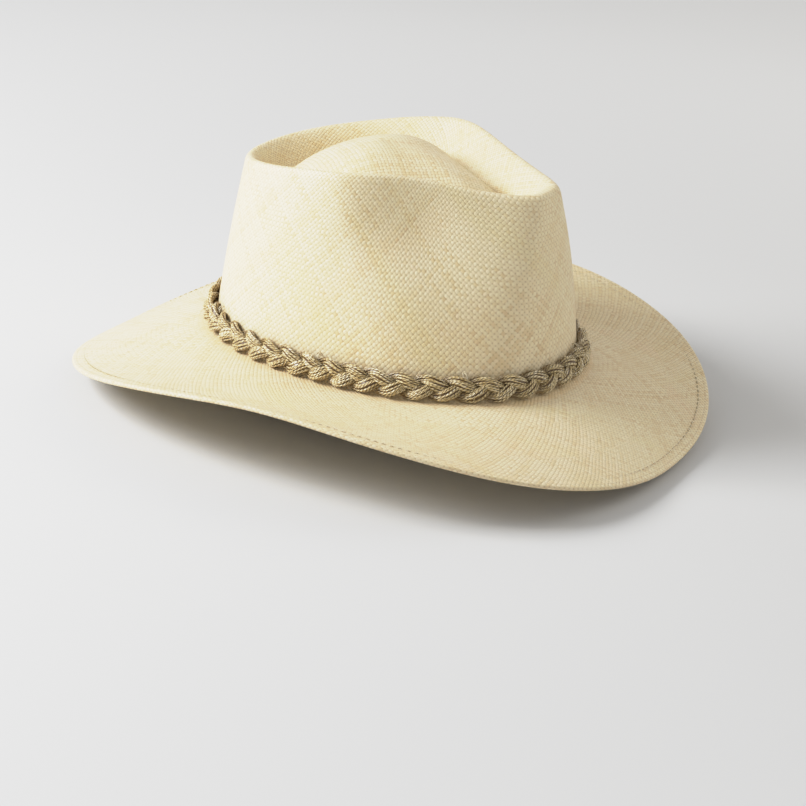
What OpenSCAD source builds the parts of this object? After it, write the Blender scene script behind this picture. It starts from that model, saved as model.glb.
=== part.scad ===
// Panama hat with a teardrop crown, a curled brim and a plaited band.
// Millimetres. The origin is the centre of the head opening, in the plane where the
// crown meets the brim. The front of the hat faces -Y and the crown rises along +Z.

/* [Head opening] */
// Outside length of the crown where it meets the brim
opening_length = 206; // [196:1:216]
// Outside width of the crown where it meets the brim
opening_width = 172; // [164:1:182]

/* [Crown] */
// Mean height of the rim above the head opening
rim_height = 105.3; // [95:0.1:115]
// How much the front of the rim stands above the mean, and the back below it
rim_tilt = 5; // [0:0.5:8]
// How much the sides of the rim stand above the mean, and front and back below it
rim_saddle = 6.5; // [0:0.5:9]
// Front half of the rim's length
rim_front = 85; // [80:1:92]
// Back half of the rim's length
rim_back = 94; // [88:1:98]
// Width of the rim before it is pinched
rim_width = 142; // [134:1:150]
// Distance from the crown's axis to the flattened front sides at the rim
pinch_distance = 58.5; // [52:0.5:64]
// Depth of the finger dents below the rim
dent_depth = 6; // [0:0.5:8]
// Depth of the channel inside the rim
channel_depth = 18; // [8:1:20]
// Rise of the central dome out of the channel
dome_rise = 23; // [14:1:24]

/* [Brim] */
// Length of the brim's outline
brim_length = 348; // [330:1:366]
// Width of the brim's outline, with its sides curled up
brim_width = 321; // [300:1:336]
// Drop of the brim's edge at the front
front_drop = 29; // [10:1:36]
// Drop of the brim's edge at the back
back_drop = 34; // [10:1:40]
// Rise of the brim's edge at the sides
side_rise = 8; // [0:1:20]

/* [Straw] */
// Thickness of the woven straw
straw_t = 1.4; // [1.2:0.1:1.8]
// Thickness where the edge of the brim is folded under
hem_t = 2.4; // [2:0.1:3]

/* [Plaited band] */
// Number of times each strand crosses the band and returns, round the whole crown
plait_turns = 14; // [12:1:14]
// Half height of the path of each strand
plait_swing = 4; // [3.6:0.1:4]
// Half depth of the path of each strand
plait_weave = 1.9; // [1.8:0.1:2]
// Half width of a strand
strand_a = 2.1; // [1.6:0.1:2.2]
// Half thickness of a strand
strand_b = 1.05; // [0.8:0.05:1.05]

/* [Sweatband] */
// Height of the sweatband
sweatband_h = 30; // [24:1:34]
// Thickness of the sweatband
sweatband_t = 1.2; // [0.8:0.1:1.4]

/* [Hidden] */

straw_color = [0.90, 0.84, 0.67];
thread_color = [0.93, 0.89, 0.76];
plait_color = [0.66, 0.58, 0.43];
leather_color = [0.62, 0.42, 0.26];
reed_color = [0.78, 0.70, 0.55];
ribbon_color = [0.22, 0.17, 0.13];
tab_color = [0.94, 0.92, 0.87];

// Facets round the hat, and steps along a strand for each of its turns
body_sides = 60;
ring_sides = 72;
steps_per_turn = 10;

// Exponents of the three ovals: 2 is an ellipse, more is squarer
opening_square = 2.2;
rim_square = 2.15;
brim_square = 2.42;

// The brim leaves the crown gently and steepens towards its edge
brim_curve = 1.25;
side_sag = 3;
side_rise_forward = 6;

// The front sides of the crown are flattened by a plane at this angle from the front
pinch_angle = 57;
pinch_distance_low = 99;
pinch_blend = 9;
wall_bulge = 1;

// The finger dents: angle from the front, half width, and place and half height on the wall
dent_angle = 66;
dent_half_angle = 27;
dent_at = 0.74;
dent_half_height = 0.22;

// The crown's top: where its centre lies, and the share of the way in that the channel takes
dome_y = 20;
channel_share = 0.28;

// The plait's centre line: height above the opening, and distance from the crown.
// Its foot stands out, so that its face looks up at this angle.
plait_z = 7.2;
plait_standoff = 3.8;
plait_tilt = 15;
keeper_angle = 112;
keeper_length = 10;
keeper_t = 1;
end_gap_angle = 0.5;
plait_half_h = plait_swing + strand_a;
plait_depth = plait_standoff + plait_swing * sin(plait_tilt) + plait_weave + strand_b;
tack_every = 6;
tack_count = floor(3 * plait_turns / tack_every);

sweatband_gap = 0.6;
sweatband_z = 1.4;
sweatband_in = straw_t + sweatband_gap;
reed_r = 1.2;
thread_r = 0.3;

// Distance of the hem's stitches from the edge, as a share of the brim's width
hem_share = 0.925;

// ---- shape functions ----------------------------------------------------------------

function smooth_step(t) = let (c = min(max(t, 0), 1)) c * c * (3 - 2 * c);

function soft_min(a, b, k) = let (h = max(k - abs(a - b), 0) / k) min(a, b) - h * h * k / 4;

function mix(a, b, t) = a * (1 - t) + b * t;

function polar(phi, r, z) = [r * sin(phi), -r * cos(phi), z];

// The angle from the front, 0 to 180 on both sides
function from_front(phi) = acos(cos(phi));

// Distance from the axis to an oval of half length a along Y and half width b along X
function oval(phi, a, b, n) = pow(pow(abs(sin(phi)) / b, n) + pow(abs(cos(phi)) / a, n), -1 / n);

function opening_r(phi) = oval(phi, opening_length / 2, opening_width / 2, opening_square);

function brim_edge_r(phi) = oval(phi, brim_length / 2, brim_width / 2, brim_square);

function brim_edge_z(phi) =
    let (c = cos(phi), s = sin(phi))
    (side_rise + side_rise_forward * c) * s * s
        - (front_drop * (1 + c) / 2 + back_drop * (1 - c) / 2) * c * c;

// A point on the brim's upper side, s = 0 at the crown and 1 at the edge
function brim_point(phi, s) =
    polar(
        phi,
        mix(opening_r(phi), brim_edge_r(phi), s),
        brim_edge_z(phi) * pow(s, brim_curve) - side_sag * sin(180 * s) * pow(sin(phi), 2)
    );

function rim_z(phi) = rim_height + rim_tilt * cos(phi) - rim_saddle * cos(2 * phi);

function rim_oval_r(phi) = oval(phi, cos(phi) > 0 ? rim_front : rim_back, rim_width / 2, rim_square);

// The flattened front side, as a distance from the axis
function pinch_r(phi, t) =
    let (c = cos(from_front(phi) - pinch_angle))
    c > 0.25 ? mix(pinch_distance_low, pinch_distance, t) / c : rim_back * 4;

function dent_r(phi, t) =
    dent_depth
        * exp(-pow(abs(from_front(phi) - dent_angle) / dent_half_angle, 3))
        * exp(-pow((t - dent_at) / dent_half_height, 2));

// Distance from the axis to the crown's wall, t = 0 at the brim and 1 at the rim
function wall_r(phi, t) =
    let (plain = mix(opening_r(phi), rim_oval_r(phi), t) + wall_bulge * sin(180 * t))
    soft_min(plain, pinch_r(phi, t), pinch_blend) - dent_r(phi, t);

function wall_point(phi, t) = polar(phi, wall_r(phi, t), rim_z(phi) * t);

// The crown's wall at a height z, moved out by d
function wall_at(phi, z, d) = polar(phi, wall_r(phi, z / rim_z(phi)) + d, z);

// A point on the crown's top, u = 0 at the rim and 1 at the dome's centre
function top_point(phi, u) =
    let (
        r = wall_r(phi, 1) * (1 - u),
        inside = min(max((1 - u) / (1 - channel_share), 0), 1),
        base = mix(rim_z(phi), rim_height, u) - channel_depth * smooth_step(u / channel_share)
    )
    polar(phi, r, base + dome_rise * pow(1 - inside * inside, 0.8)) + [0, dome_y * u, 0];

function bend(a, corner, b, q) = a * pow(1 - q, 2) + corner * 2 * q * (1 - q) + b * q * q;

// ---- meshes ---------------------------------------------------------------------------

// Joins rings of equal size into a closed solid. With wrap the last ring meets the first.
// With tips = [first, last] each end closes in a point, and without it in a flat face.
module skin(rings, wrap = false, tips = []) {
    count = len(rings);
    sides = len(rings[0]);
    last = (count - 1) * sides;
    first_tip = count * sides;
    last_ring = wrap ? count - 1 : count - 2;
    points = [for (ring = rings) each ring, for (tip = tips) tip];
    walls = [
        for (i = [0 : last_ring], j = [0 : sides - 1])
            let (k = (j + 1) % sides, a = i * sides, b = ((i + 1) % count) * sides)
            each [[a + j, a + k, b + k], [a + j, b + k, b + j]]
    ];
    caps = wrap ? []
        : len(tips) == 2 ? [
            for (j = [0 : sides - 1])
                let (k = (j + 1) % sides)
                each [[first_tip, k, j], [first_tip + 1, last + j, last + k]]
        ]
        : [[for (j = [sides - 1 : -1 : 0]) j], [for (j = [0 : sides - 1]) last + j]];
    polyhedron(points = points, faces = concat(walls, caps), convexity = 10);
}

// A ring of constant section that follows the crown's wall, with flat-sided sections.
// section = list of [distance from the wall, height]
module ring_on_wall(section) {
    skin(
        [
            for (i = [0 : ring_sides - 1])
                let (phi = 360 * i / ring_sides)
                [for (p = section) wall_at(phi, p[1], p[0])]
        ],
        wrap = true
    );
}

function round_section(d, z, r, sides) =
    [for (j = [0 : sides - 1]) [d + r * cos(360 * j / sides), z + r * sin(360 * j / sides)]];

// ---- the straw body --------------------------------------------------------------------

brim_stops = [1, 0.965, 0.93, 0.9, 0.76, 0.6, 0.44, 0.28, 0.16, 0.06];
wall_stops = [0.045, 0.14, 0.26, 0.38, 0.5, 0.61, 0.71, 0.81, 0.9, 0.95];
top_stops = [0.05, 0.11, 0.17, 0.23, 0.29, 0.36, 0.46, 0.6, 0.76, 0.92];
corner_stops = [0.34, 0.66];

function outer_profile(phi) =
    let (
        break_corner = polar(phi, opening_r(phi), 0),
        brim_end = brim_point(phi, brim_stops[len(brim_stops) - 1]),
        wall_start = wall_point(phi, wall_stops[0]),
        wall_end = wall_point(phi, wall_stops[len(wall_stops) - 1]),
        rim_corner = wall_point(phi, 1),
        top_start = top_point(phi, top_stops[0])
    )
    [
        for (s = brim_stops) brim_point(phi, s),
        for (q = corner_stops) bend(brim_end, break_corner, wall_start, q),
        for (t = wall_stops) wall_point(phi, t),
        for (q = corner_stops) bend(wall_end, rim_corner, top_start, q),
        for (u = top_stops) top_point(phi, u)
    ];

function thickness_at(i) = i < len(brim_stops) && brim_stops[i] > 0.92 ? hem_t : straw_t;

// profiles[j][i] is the outer surface, j round the hat and i from the edge to the top
module straw_body() {
    profiles = [for (j = [0 : body_sides - 1]) outer_profile(360 * j / body_sides)];
    rings = len(profiles[0]);
    normals = [
        for (j = [0 : body_sides - 1])
            let (before = profiles[(j + body_sides - 1) % body_sides], after = profiles[(j + 1) % body_sides])
            [
                for (i = [0 : rings - 1])
                    let (
                        round_way = after[i] - before[i],
                        up_way = profiles[j][min(i + 1, rings - 1)] - profiles[j][max(i - 1, 0)],
                        n = cross(round_way, up_way)
                    )
                    n / norm(n)
            ]
    ];
    outer = [
        for (i = [rings - 1 : -1 : 0])
            [for (j = [0 : body_sides - 1]) profiles[j][i]]
    ];
    edge = [
        for (j = [0 : body_sides - 1])
            profiles[j][0] - normals[j][0] * hem_t / 2 + polar(360 * j / body_sides, hem_t / 3, 0)
    ];
    inner = [
        for (i = [0 : rings - 1])
            [for (j = [0 : body_sides - 1]) profiles[j][i] - normals[j][i] * thickness_at(i)]
    ];
    top = [0, dome_y, rim_height - channel_depth + dome_rise];
    color(straw_color) skin(concat(outer, [edge], inner), tips = [top, top - [0, 0, straw_t]]);
}

module hem_stitching() {
    rows = [
        for (i = [0 : ring_sides - 1])
            let (
                phi = 360 * i / ring_sides,
                p = brim_point(phi, hem_share),
                out = polar(phi, 1, 0)
            )
            [
                for (j = [0 : 3])
                    p + [0, 0, 0.1 + thread_r] + out * thread_r * cos(90 * j) + [0, 0, thread_r * sin(90 * j)]
            ]
    ];
    color(thread_color) skin(rows, wrap = true);
}

// ---- the plaited band ------------------------------------------------------------------

// A strand swings up and down the band once a turn, and in and out of it twice
function strand_point(phi, phase) =
    let (
        a = plait_turns * phi - phase,
        up = plait_swing * sin(a),
        over = -plait_weave * sin(2 * a),
        c = cos(plait_tilt),
        s = sin(plait_tilt)
    )
    wall_at(phi, plait_z + up * c + over * s, plait_standoff - up * s + over * c);

module braid_strand(phase) {
    steps = plait_turns * steps_per_turn;
    start = keeper_angle + end_gap_angle;
    span = 360 - 2 * end_gap_angle;
    rings = [
        for (i = [0 : steps])
            let (
                phi = start + span * i / steps,
                c = strand_point(phi, phase),
                ahead = strand_point(phi + 0.5, phase) - strand_point(phi - 0.5, phase),
                out = polar(phi, cos(plait_tilt), sin(plait_tilt)),
                side = cross(ahead, out) / norm(cross(ahead, out)),
                face = cross(side, ahead) / norm(cross(side, ahead))
            )
            [for (j = [0 : 6]) c + side * strand_a * cos(360 * j / 7) + face * strand_b * sin(360 * j / 7)]
    ];
    color(plait_color) skin(rings);
}

module braid_strand_1() {
    braid_strand(0);
}

module braid_strand_2() {
    braid_strand(120);
}

module braid_strand_3() {
    braid_strand(240);
}

// Puts children on the crown's wall: X outwards, Y level along the wall, Z up the wall's slope
module on_wall(phi, z) {
    p = wall_at(phi, z, 0);
    ahead = wall_at(phi + 1, z, 0) - wall_at(phi - 1, z, 0);
    along = ahead / norm(ahead);
    rise = wall_at(phi, z + 1, 0) - p;
    slope = rise - along * (rise * along);
    up = slope / norm(slope);
    out = cross(along, up);
    multmatrix([
        [out[0], along[0], up[0], p[0]],
        [out[1], along[1], up[1], p[1]],
        [out[2], along[2], up[2], p[2]]
    ])
        children();
}

// A flat strap over the plait's two ends, sewn to the straw above and below it
module braid_keeper() {
    drop = 0.35;
    half = plait_half_h + drop;
    reach = plait_depth;
    low_clear = 4.4;
    color(plait_color)
        on_wall(keeper_angle, plait_z)
            translate([0, -keeper_length / 2, -drop])
                rotate([-90, 0, 0])
                    linear_extrude(keeper_length)
                        polygon([
                            [0.4, -half], [0.4, -half - keeper_t], [reach + keeper_t, -half - keeper_t],
                            [reach + keeper_t, half + keeper_t], [low_clear, half + keeper_t],
                            [low_clear, half], [reach, half], [reach, -half]
                        ]);
}

// Short thread bars in the notches along the plait's upper edge
module band_tacks() {
    notch_z = plait_z + plait_swing + strand_a * 0.6;
    color(thread_color)
        for (k = [0 : tack_count - 1])
            on_wall((150 + 120 * tack_every * k) / plait_turns, notch_z)
                translate([0.4, 0, 0])
                    rotate([0, 90, 0])
                        cylinder(h = 2.6, r = 0.4, $fn = 16);
}

// ---- the sweatband ---------------------------------------------------------------------

module sweatband() {
    outer = -sweatband_in;
    inner = outer - sweatband_t;
    mid_z = sweatband_z + sweatband_h / 2;
    top_z = sweatband_z + sweatband_h;
    color(leather_color)
        ring_on_wall([
            [outer, sweatband_z], [outer, mid_z], [outer, top_z],
            [inner, top_z], [inner, mid_z], [inner, sweatband_z]
        ]);
}

module sweatband_reed() {
    color(reed_color) ring_on_wall(round_section(-sweatband_in - reed_r - 0.2, -0.1, reed_r, 6));
}

module sweatband_stitching() {
    color(thread_color)
        ring_on_wall(round_section(-sweatband_in - sweatband_t - thread_r - 0.1, sweatband_z + 3, thread_r, 4));
}

// Crossed stitches that join the ends of the sweatband at the back
module sweatband_seam() {
    face = -sweatband_in - sweatband_t - 0.6;
    color(thread_color)
        on_wall(180, 0)
            for (k = [0 : 4], way = [-1, 1])
                translate([face - 0.35 * (way + 1), 0, sweatband_z + 13 + 3.4 * k])
                    rotate([45 * way, 0, 0])
                        cylinder(h = 4, r = 0.3, center = true, $fn = 16);
}

// A flat ribbon bow over the seam: two loops, two tails and a knot
module sweatband_bow() {
    ribbon_w = 4;
    loop_l = 12;
    loop_w = 3.6;
    ribbon_t = 0.5;
    face = -sweatband_in - sweatband_t - 0.6;
    color(ribbon_color)
        on_wall(180, sweatband_z + 7)
            translate([face - loop_w / 2 - 0.6, 0, 0]) {
                for (way = [-1, 1])
                    translate([0, way * (loop_l / 2 + 1), -ribbon_w / 2])
                        linear_extrude(ribbon_w)
                            difference() {
                                scale([loop_w / loop_l, 1]) circle(d = loop_l, $fn = 32);
                                scale([(loop_w - 2 * ribbon_t) / loop_l, 1])
                                    circle(d = loop_l - 2 * ribbon_t, $fn = 32);
                            }
                translate([-1.5, -1.8, -ribbon_w / 2 - 0.4]) cube([3, 3.6, ribbon_w + 0.8]);
                for (way = [-1, 1])
                    translate([0.6, way * 2.4, -ribbon_w / 2])
                        rotate([way * 25, 0, 0])
                            translate([0, -1.2, -6.5])
                                cube([ribbon_t, 2.6, 7]);
            }
}

// A small blank tab folded over the sweatband's inner face, left of the seam
module size_tab() {
    color(tab_color)
        on_wall(158, sweatband_z + 18)
            translate([-sweatband_in - sweatband_t - 0.9, -6, -5])
                rotate([90, 0, 90])
                    linear_extrude(0.4)
                        offset(r = 1, $fn = 24)
                            translate([1, 1])
                                square([10, 8]);
}

straw_body();
hem_stitching();
braid_strand_1();
braid_strand_2();
braid_strand_3();
braid_keeper();
band_tacks();
sweatband();
sweatband_reed();
sweatband_stitching();
sweatband_seam();
sweatband_bow();
size_tab();
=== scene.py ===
import math

import bpy
import numpy as np
from mathutils import Matrix, Vector


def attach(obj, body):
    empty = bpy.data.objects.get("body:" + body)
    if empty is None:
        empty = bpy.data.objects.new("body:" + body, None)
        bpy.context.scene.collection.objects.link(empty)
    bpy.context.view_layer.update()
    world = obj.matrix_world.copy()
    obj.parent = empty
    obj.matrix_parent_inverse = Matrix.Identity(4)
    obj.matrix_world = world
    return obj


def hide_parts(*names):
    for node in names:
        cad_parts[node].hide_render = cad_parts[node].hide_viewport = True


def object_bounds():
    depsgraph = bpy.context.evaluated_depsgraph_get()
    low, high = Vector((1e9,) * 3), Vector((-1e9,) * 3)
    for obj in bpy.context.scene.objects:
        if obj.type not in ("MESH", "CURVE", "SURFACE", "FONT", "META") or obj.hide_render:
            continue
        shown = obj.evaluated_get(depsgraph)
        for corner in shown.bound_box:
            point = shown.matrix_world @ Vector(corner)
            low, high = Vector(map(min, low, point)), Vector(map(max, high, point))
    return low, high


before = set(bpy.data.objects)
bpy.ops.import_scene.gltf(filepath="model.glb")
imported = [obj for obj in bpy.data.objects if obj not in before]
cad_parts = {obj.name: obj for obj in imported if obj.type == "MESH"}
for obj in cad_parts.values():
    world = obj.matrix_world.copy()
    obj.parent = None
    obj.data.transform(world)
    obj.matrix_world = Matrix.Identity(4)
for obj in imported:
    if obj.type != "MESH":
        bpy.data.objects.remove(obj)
cad_low, cad_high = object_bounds()

# Lengths are millimetres and angles are degrees until a mesh is made. phi is the angle round
# the hat from its front, which faces -Y, and the wearer's left, +X, is at phi = 90.
MM = 0.001
TURN = 360.0

# ---- driving dimensions, the same as the CAD model's ----

OPENING_HALF = (103.0, 86.0)
OPENING_SQUARE = 2.2
RIM_HEIGHT = 105.3
RIM_TILT = 5.0
RIM_SADDLE = 6.5
RIM_FRONT = 85.0
RIM_BACK = 94.0
RIM_HALF_WIDTH = 71.0
RIM_SQUARE = 2.15
PINCH_ANGLE = 57.0
PINCH_DISTANCE_LOW = 99.0
PINCH_DISTANCE = 58.5
PINCH_BLEND = 9.0
WALL_BULGE = 1.0
DENT_DEPTH = 6.0
DENT_ANGLE = 66.0
DENT_HALF_ANGLE = 27.0
DENT_AT = 0.74
DENT_HALF_HEIGHT = 0.22
CHANNEL_DEPTH = 18.0
CHANNEL_SHARE = 0.28
DOME_RISE = 23.0
DOME_Y = 20.0
BRIM_HALF = (174.0, 160.5)
BRIM_SQUARE = 2.42
BRIM_CURVE = 1.25
FRONT_DROP = 29.0
BACK_DROP = 34.0
SIDE_RISE = 8.0
SIDE_RISE_FORWARD = 6.0
SIDE_SAG = 3.0
STRAW_T = 1.4
HEM_T = 2.4
HEM_SHARE = 0.925
PLAIT_TURNS = 14
PLAIT_SWING = 4.0
PLAIT_WEAVE = 1.9
PLAIT_Z = 7.2
PLAIT_STANDOFF = 3.8
PLAIT_TILT = 15.0
KEEPER_ANGLE = 112.0
END_GAP_ANGLE = 0.5
SWEATBAND_GAP = 0.6
SWEATBAND_T = 1.2
SWEATBAND_Z = 1.4
SWEATBAND_H = 30.0
REED_R = 1.2


# ---- shape of the hat ----


def sin(angle):
    return np.sin(np.radians(angle))


def cos(angle):
    return np.cos(np.radians(angle))


def mix(a, b, t):
    return a * (1 - t) + b * t


def smooth_step(t):
    c = np.clip(t, 0, 1)
    return c * c * (3 - 2 * c)


def soft_min(a, b, k):
    h = np.maximum(k - np.abs(a - b), 0) / k
    return np.minimum(a, b) - h * h * k / 4


def polar(phi, r, z):
    """A point, or an array of them, from its angle round the hat, distance from the axis and height."""
    phi, r, z = np.broadcast_arrays(phi, r, z)
    return np.stack([r * sin(phi), -r * cos(phi), z], -1)


def oval(phi, half_length, half_width, square):
    across = (np.abs(sin(phi)) / half_width) ** square
    along = (np.abs(cos(phi)) / half_length) ** square
    return (across + along) ** (-1 / square)


def opening_r(phi):
    return oval(phi, *OPENING_HALF, OPENING_SQUARE)


def brim_edge_z(phi):
    side = (SIDE_RISE + SIDE_RISE_FORWARD * cos(phi)) * sin(phi) ** 2
    drop = FRONT_DROP * (1 + cos(phi)) / 2 + BACK_DROP * (1 - cos(phi)) / 2
    return side - drop * cos(phi) ** 2


def brim_point(phi, s):
    """The brim's upper side, s = 0 at the crown and 1 at the edge."""
    r = mix(opening_r(phi), oval(phi, *BRIM_HALF, BRIM_SQUARE), s)
    sag = SIDE_SAG * sin(180 * s) * sin(phi) ** 2
    return polar(phi, r, brim_edge_z(phi) * s**BRIM_CURVE - sag)


def rim_z(phi):
    return RIM_HEIGHT + RIM_TILT * cos(phi) - RIM_SADDLE * cos(2 * phi)


def wall_r(phi, t):
    """Distance from the axis to the crown's wall, t = 0 at the brim and 1 at the rim."""
    half_length = np.where(cos(phi) > 0, RIM_FRONT, RIM_BACK)
    rim = oval(phi, half_length, RIM_HALF_WIDTH, RIM_SQUARE)
    plain = mix(opening_r(phi), rim, t) + WALL_BULGE * sin(180 * t)
    from_front = np.degrees(np.arccos(np.clip(cos(phi), -1, 1)))
    facing = cos(from_front - PINCH_ANGLE)
    flat = mix(PINCH_DISTANCE_LOW, PINCH_DISTANCE, t) / np.maximum(facing, 0.25)
    pinch = np.where(facing > 0.25, flat, RIM_BACK * 4)
    dent = DENT_DEPTH * np.exp(-(np.abs((from_front - DENT_ANGLE) / DENT_HALF_ANGLE) ** 3))
    dent = dent * np.exp(-(((t - DENT_AT) / DENT_HALF_HEIGHT) ** 2))
    return soft_min(plain, pinch, PINCH_BLEND) - dent


def wall_point(phi, t):
    return polar(phi, wall_r(phi, t), rim_z(phi) * t)


def wall_at(phi, z, out):
    """The crown's wall at height z, moved outwards."""
    return polar(phi, wall_r(phi, z / rim_z(phi)) + out, z)


def top_point(phi, u):
    """The crown's top, u = 0 at the rim and 1 at the dome's centre."""
    r = wall_r(phi, 1.0) * (1 - u)
    inside = np.clip((1 - u) / (1 - CHANNEL_SHARE), 0, 1)
    base = mix(rim_z(phi), RIM_HEIGHT, u) - CHANNEL_DEPTH * smooth_step(u / CHANNEL_SHARE)
    point = polar(phi, r, base + DOME_RISE * (1 - inside**2) ** 0.8)
    point[..., 1] += DOME_Y * u
    return point


def placed(local, phi, z):
    """Points given outwards, level along the wall and up its slope, from the wall at phi and z."""
    here = wall_at(phi, z, 0.0)
    along = unit(wall_at(phi + 1, z, 0.0) - wall_at(phi - 1, z, 0.0))
    rise = wall_at(phi, z + 1, 0.0) - here
    up = unit(rise - along * (rise @ along))
    return here + local @ np.stack([np.cross(along, up), along, up])


def bend(start, corner, end, q):
    """A quadratic curve that rounds a corner."""
    return start * (1 - q) ** 2 + corner * 2 * q * (1 - q) + end * q**2


# ---- making pieces ----


def add_object(name, data):
    item = bpy.data.objects.new(name, data)
    bpy.context.scene.collection.objects.link(item)
    return item


def new_piece(name, points, faces, triangles=()):
    """A mesh object from points in millimetres and lists of four and of three corners."""
    corners = np.concatenate([np.ravel(faces), np.ravel(triangles)]).astype(np.int32)
    sizes = np.concatenate([np.full(len(faces), 4), np.full(len(triangles), 3)])
    mesh = bpy.data.meshes.new(name)
    mesh.vertices.add(len(points))
    mesh.vertices.foreach_set("co", (np.asarray(points) * MM).astype(np.float32).ravel())
    mesh.loops.add(len(corners))
    mesh.loops.foreach_set("vertex_index", corners)
    mesh.polygons.add(len(sizes))
    mesh.polygons.foreach_set("loop_start", (np.cumsum(sizes) - sizes).astype(np.int32))
    mesh.polygons.foreach_set("use_smooth", np.ones(len(sizes), bool))
    mesh.update(calc_edges=True)
    return add_object(name, mesh)


def finish_piece(piece, material, node):
    """Gives a piece its material in a slot and its body, and hides the CAD part that it stands for."""
    piece.data.materials.append(material)
    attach(piece, "root")
    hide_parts(node)


def grid_faces(rings, sides, wrap=False):
    """Four-cornered faces between rings of points, each ring closed."""
    ring = np.arange(rings if wrap else rings - 1)[:, None]
    side = np.arange(sides)[None, :]
    here, above = ring * sides, (ring + 1) % rings * sides
    beside = (side + 1) % sides
    return np.stack([here + side, here + beside, above + beside, above + side], -1).reshape(-1, 4)


def cap_faces(rings, sides):
    """Fans that close the first ring and the last, about two tips that follow the rings' points."""
    side = np.arange(sides)
    beside = (side + 1) % sides
    tip, end = rings * sides, (rings - 1) * sides
    return np.concatenate([
        np.stack([np.full(sides, tip), beside, side], -1),
        np.stack([np.full(sides, tip + 1), end + side, end + beside], -1),
    ])


def lengths_along(path):
    """The distance from the start of a path to each of its points."""
    return np.concatenate([[0], np.cumsum(np.linalg.norm(np.diff(path, axis=0), axis=-1))])


def numbers_for(rings, *numbers):
    """The numbers that each point of the rings holds for its material."""
    return np.stack([np.broadcast_to(number, rings.shape[:2]) for number in numbers], -1).astype(float)


def add_corner_values(piece, name, values):
    """Stores three numbers at each corner of each face, for the material to read."""
    layer = piece.data.attributes.new(name, "FLOAT_VECTOR", "CORNER")
    layer.data.foreach_set("vector", np.asarray(values, np.float32).ravel())


class Tubes:
    """Collects tubes, each a ring of points along a path, into one mesh."""

    def __init__(self):
        self.points, self.faces, self.triangles, self.count = [], [], [], 0
        self.face_values, self.triangle_values = [], []

    def add(self, rings, values, round_step=0.0, closed_length=None):
        """rings is an array of (rings, sides, 3), and values holds three or four numbers for each point.

        round_step is what the second number gains in one turn round the tube. A tube with a
        closed_length meets its own start, and the first number gains that length on the way.
        """
        count, sides = rings.shape[:2]
        closed = closed_length is not None
        numbers = values.shape[-1]
        flat = values.reshape(-1, numbers)
        faces = grid_faces(count, sides, closed)
        corners = flat[faces].reshape(-1, sides, 4, numbers)
        corners[:, -1, 1:3, 1] += round_step
        if closed:
            corners[-1, :, 2:, 0] += closed_length
        self.points.append(rings.reshape(-1, 3))
        self.faces.append(faces + self.count)
        self.face_values.append(corners.reshape(-1, numbers))
        if not closed:
            self.points.append(np.stack([rings[0].mean(0), rings[-1].mean(0)]))
            caps = cap_faces(count, sides)
            self.triangles.append(caps + self.count)
            self.triangle_values.append(np.concatenate([flat, flat[[0, -1]]])[caps].reshape(-1, numbers))
        self.count += count * sides + (0 if closed else 2)

    def finish(self, name, attribute, material, node):
        triangles = np.concatenate(self.triangles) if self.triangles else np.zeros((0, 3), int)
        piece = new_piece(name, np.concatenate(self.points), np.concatenate(self.faces), triangles)
        values = np.concatenate(self.face_values + self.triangle_values)
        add_corner_values(piece, attribute, values[:, :3])
        if values.shape[1] > 3:
            add_corner_values(piece, attribute + "_depth", np.repeat(values[:, 3:], 3, 1))
        finish_piece(piece, material, node)


def unit(v):
    return v / np.linalg.norm(v, axis=-1, keepdims=True)


def frames_along(path, out, closed=False):
    """Directions across and out of a path, given roughly which way is out."""
    if closed:
        along = np.roll(path, -1, 0) - np.roll(path, 1, 0)
    else:
        along = np.gradient(path, axis=0)
    along = unit(along)
    across = unit(np.cross(along, out))
    return across, np.cross(across, along)


def circles_along(path, out, sides, closed=False):
    """The angle of each side of a tube along a path, and the directions from the path to its sides."""
    across, face = frames_along(path, out, closed)
    turn = TURN * np.arange(sides) / sides
    return turn, across[:, None] * cos(turn)[:, None] + face[:, None] * sin(turn)[:, None]


def round_tube(path, out, radius, sides, closed=False):
    """Rings of a plain round tube along a path."""
    return path[:, None] + circles_along(path, out, sides, closed)[1] * radius


# ---- materials ----


def feed(tree, socket, value):
    """Links an input to a value or a socket, or sets it to a number or a colour."""
    if isinstance(value, Value):
        tree.links.new(value.socket, socket)
    elif isinstance(value, bpy.types.NodeSocket):
        tree.links.new(value, socket)
    else:
        socket.default_value = (*value, 1) if isinstance(value, tuple) else value


class Value:
    """A number in a node tree. Arithmetic on it adds Math nodes."""

    def __init__(self, tree, socket):
        self.tree, self.socket = tree, socket

    def math(self, operation, *others):
        node = self.tree.nodes.new("ShaderNodeMath")
        node.operation = operation
        for i, value in enumerate((self, *others)):
            feed(self.tree, node.inputs[i], value)
        return Value(self.tree, node.outputs[0])

    def __add__(self, other):
        return self.math("ADD", other)

    def __sub__(self, other):
        return self.math("SUBTRACT", other)

    def __mul__(self, other):
        return self.math("MULTIPLY", other)

    def floor(self):
        return self.math("FLOOR")

    def fract(self):
        return self.math("FRACT")

    def absolute(self):
        return self.math("ABSOLUTE")

    def sine(self):
        return self.math("SINE")

    def cosine(self):
        return self.math("COSINE")

    def between(self, low, high):
        """0 at low or less, 1 at high or more, and smooth between them."""
        node = self.tree.nodes.new("ShaderNodeMapRange")
        node.interpolation_type = "SMOOTHSTEP"
        self.tree.links.new(self.socket, node.inputs["Value"])
        node.inputs["From Min"].default_value = low
        node.inputs["From Max"].default_value = high
        return Value(self.tree, node.outputs["Result"])

    def blend(self, a, b):
        """a where this is 0 and b where it is 1."""
        return a + (b - a) * self


def vector(tree, *parts):
    node = tree.nodes.new("ShaderNodeCombineXYZ")
    for i, part in enumerate(parts):
        feed(tree, node.inputs[i], part)
    return node.outputs[0]


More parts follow.
